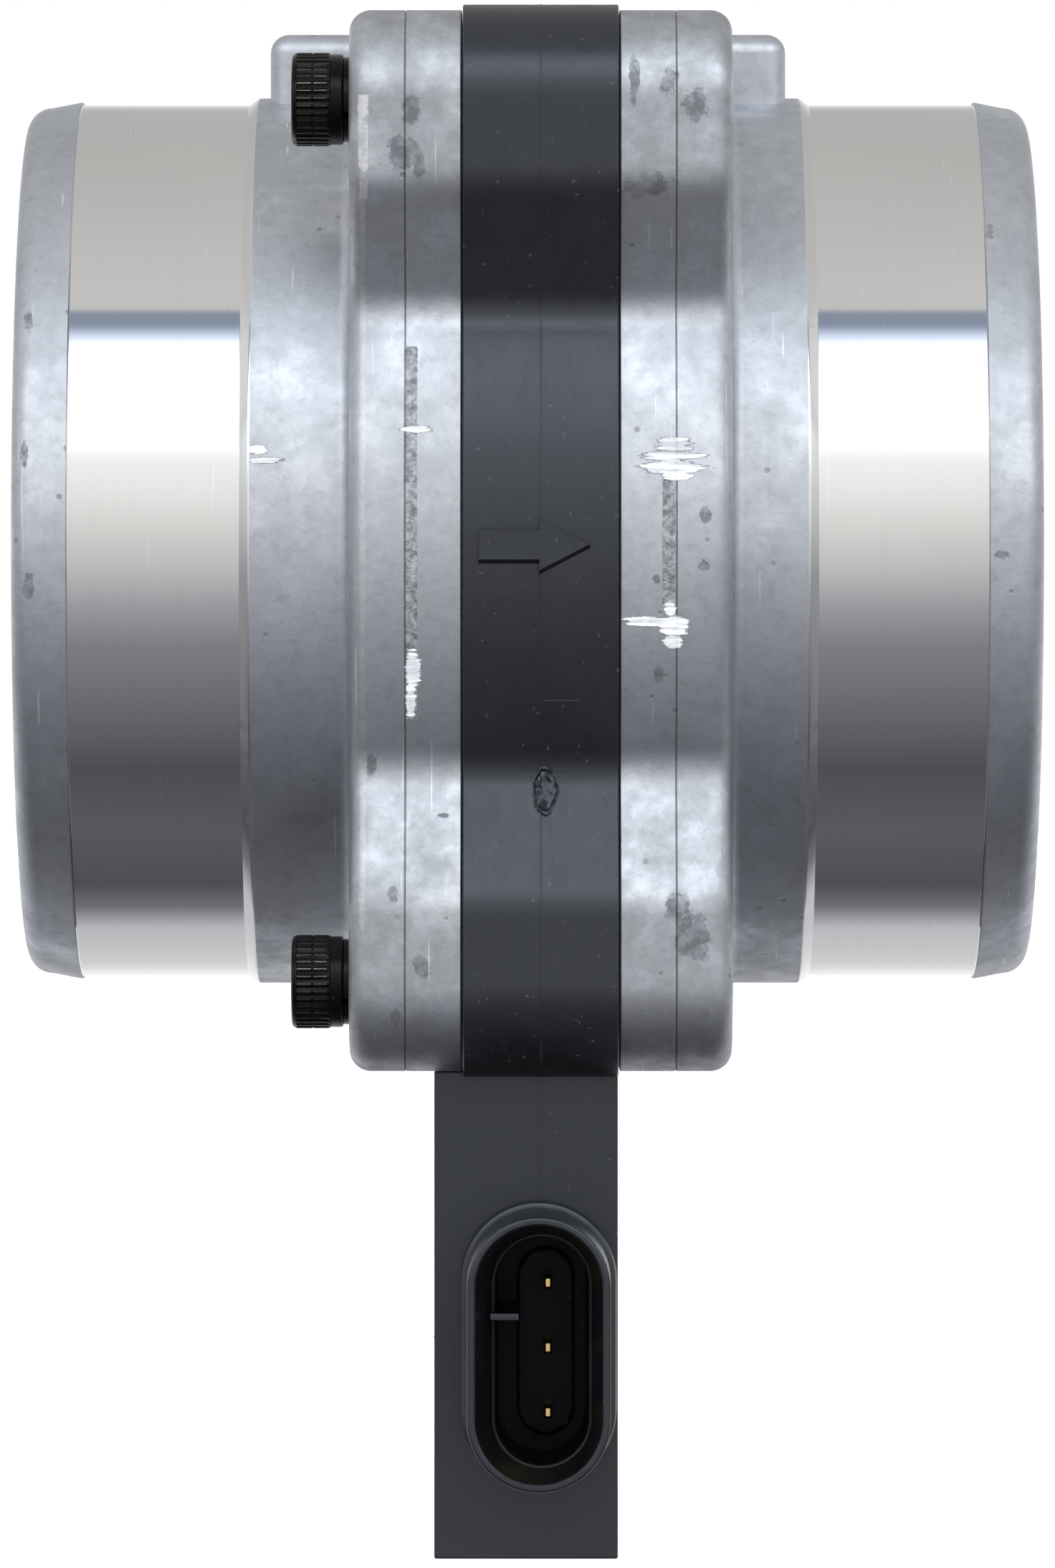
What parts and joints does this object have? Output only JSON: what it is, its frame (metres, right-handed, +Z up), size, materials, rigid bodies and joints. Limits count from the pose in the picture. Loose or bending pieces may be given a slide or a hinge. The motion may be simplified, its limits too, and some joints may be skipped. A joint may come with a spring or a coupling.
{
  "type": "mass air flow sensor",
  "caption": "Hot-wire mass air flow sensor: aluminium hose spigots bolted round a black moulded sensor ring with an electronics box and an oval plug socket below.",
  "frame": {"origin": "centre of the inlet end opening, on the flow axis", "axes": "+X along the flow from inlet to outlet, +Z up and away from the electronics box, -Y the side the plug socket faces"},
  "size_m": [0.1016, 0.1066, 0.1531],
  "materials": {
    "cast_aluminium": "as-cast flanges and lips, machined hose bands",
    "black_nylon": "glass-filled moulding, fine texture",
    "cover_plastic": "glass-filled moulding",
    "silicone": "cured silicone bead",
    "substrate": "thick film ceramic",
    "chip_plastic": "moulded epoxy package",
    "extruded_aluminium": "extruded, sawn and bare",
    "stainless_mesh": "drawn stainless wire",
    "spring_steel": "bare spring steel",
    "seal_rubber": "moulded nitrile",
    "element_ceramic": "glass coated ceramic",
    "black_oxide_steel": "black oxide, lightly oiled",
    "sleeve_brass": "turned brass",
    "prong_steel": "nickel plated wire",
    "gold_plate": "gold plated brass"
  },
  "bodies": {
    "root": {"air_temp_element": "element_ceramic", "circuit_board": "substrate", "control_chip": "chip_plastic", "cover_seal": "silicone", "element_prong_1": "prong_steel", "element_prong_2": "prong_steel", "element_prong_3": "prong_steel", "element_prong_4": "prong_steel", "flange_screw_1": "black_oxide_steel", "flange_screw_2": "black_oxide_steel", "flange_screw_3": "black_oxide_steel", "flange_screw_4": "black_oxide_steel", "heat_sink": "extruded_aluminium", "hot_element": "element_ceramic", "inlet_housing": "cast_aluminium", "inlet_screen": "stainless_mesh", "inlet_seal": "seal_rubber", "lock_washer_1": "black_oxide_steel", "lock_washer_2": "black_oxide_steel", "lock_washer_3": "black_oxide_steel", "lock_washer_4": "black_oxide_steel", "module_cover": "cover_plastic", "outlet_housing": "cast_aluminium", "outlet_seal": "seal_rubber", "power_transistor": "chip_plastic", "screen_retaining_ring": "spring_steel", "sensor_body": "black_nylon", "spacer_sleeve_1": "sleeve_brass", "spacer_sleeve_2": "sleeve_brass", "spacer_sleeve_3": "sleeve_brass", "spacer_sleeve_4": "sleeve_brass", "terminal_1": "gold_plate", "terminal_2": "gold_plate", "terminal_3": "gold_plate"}
  },
  "joints": []
}
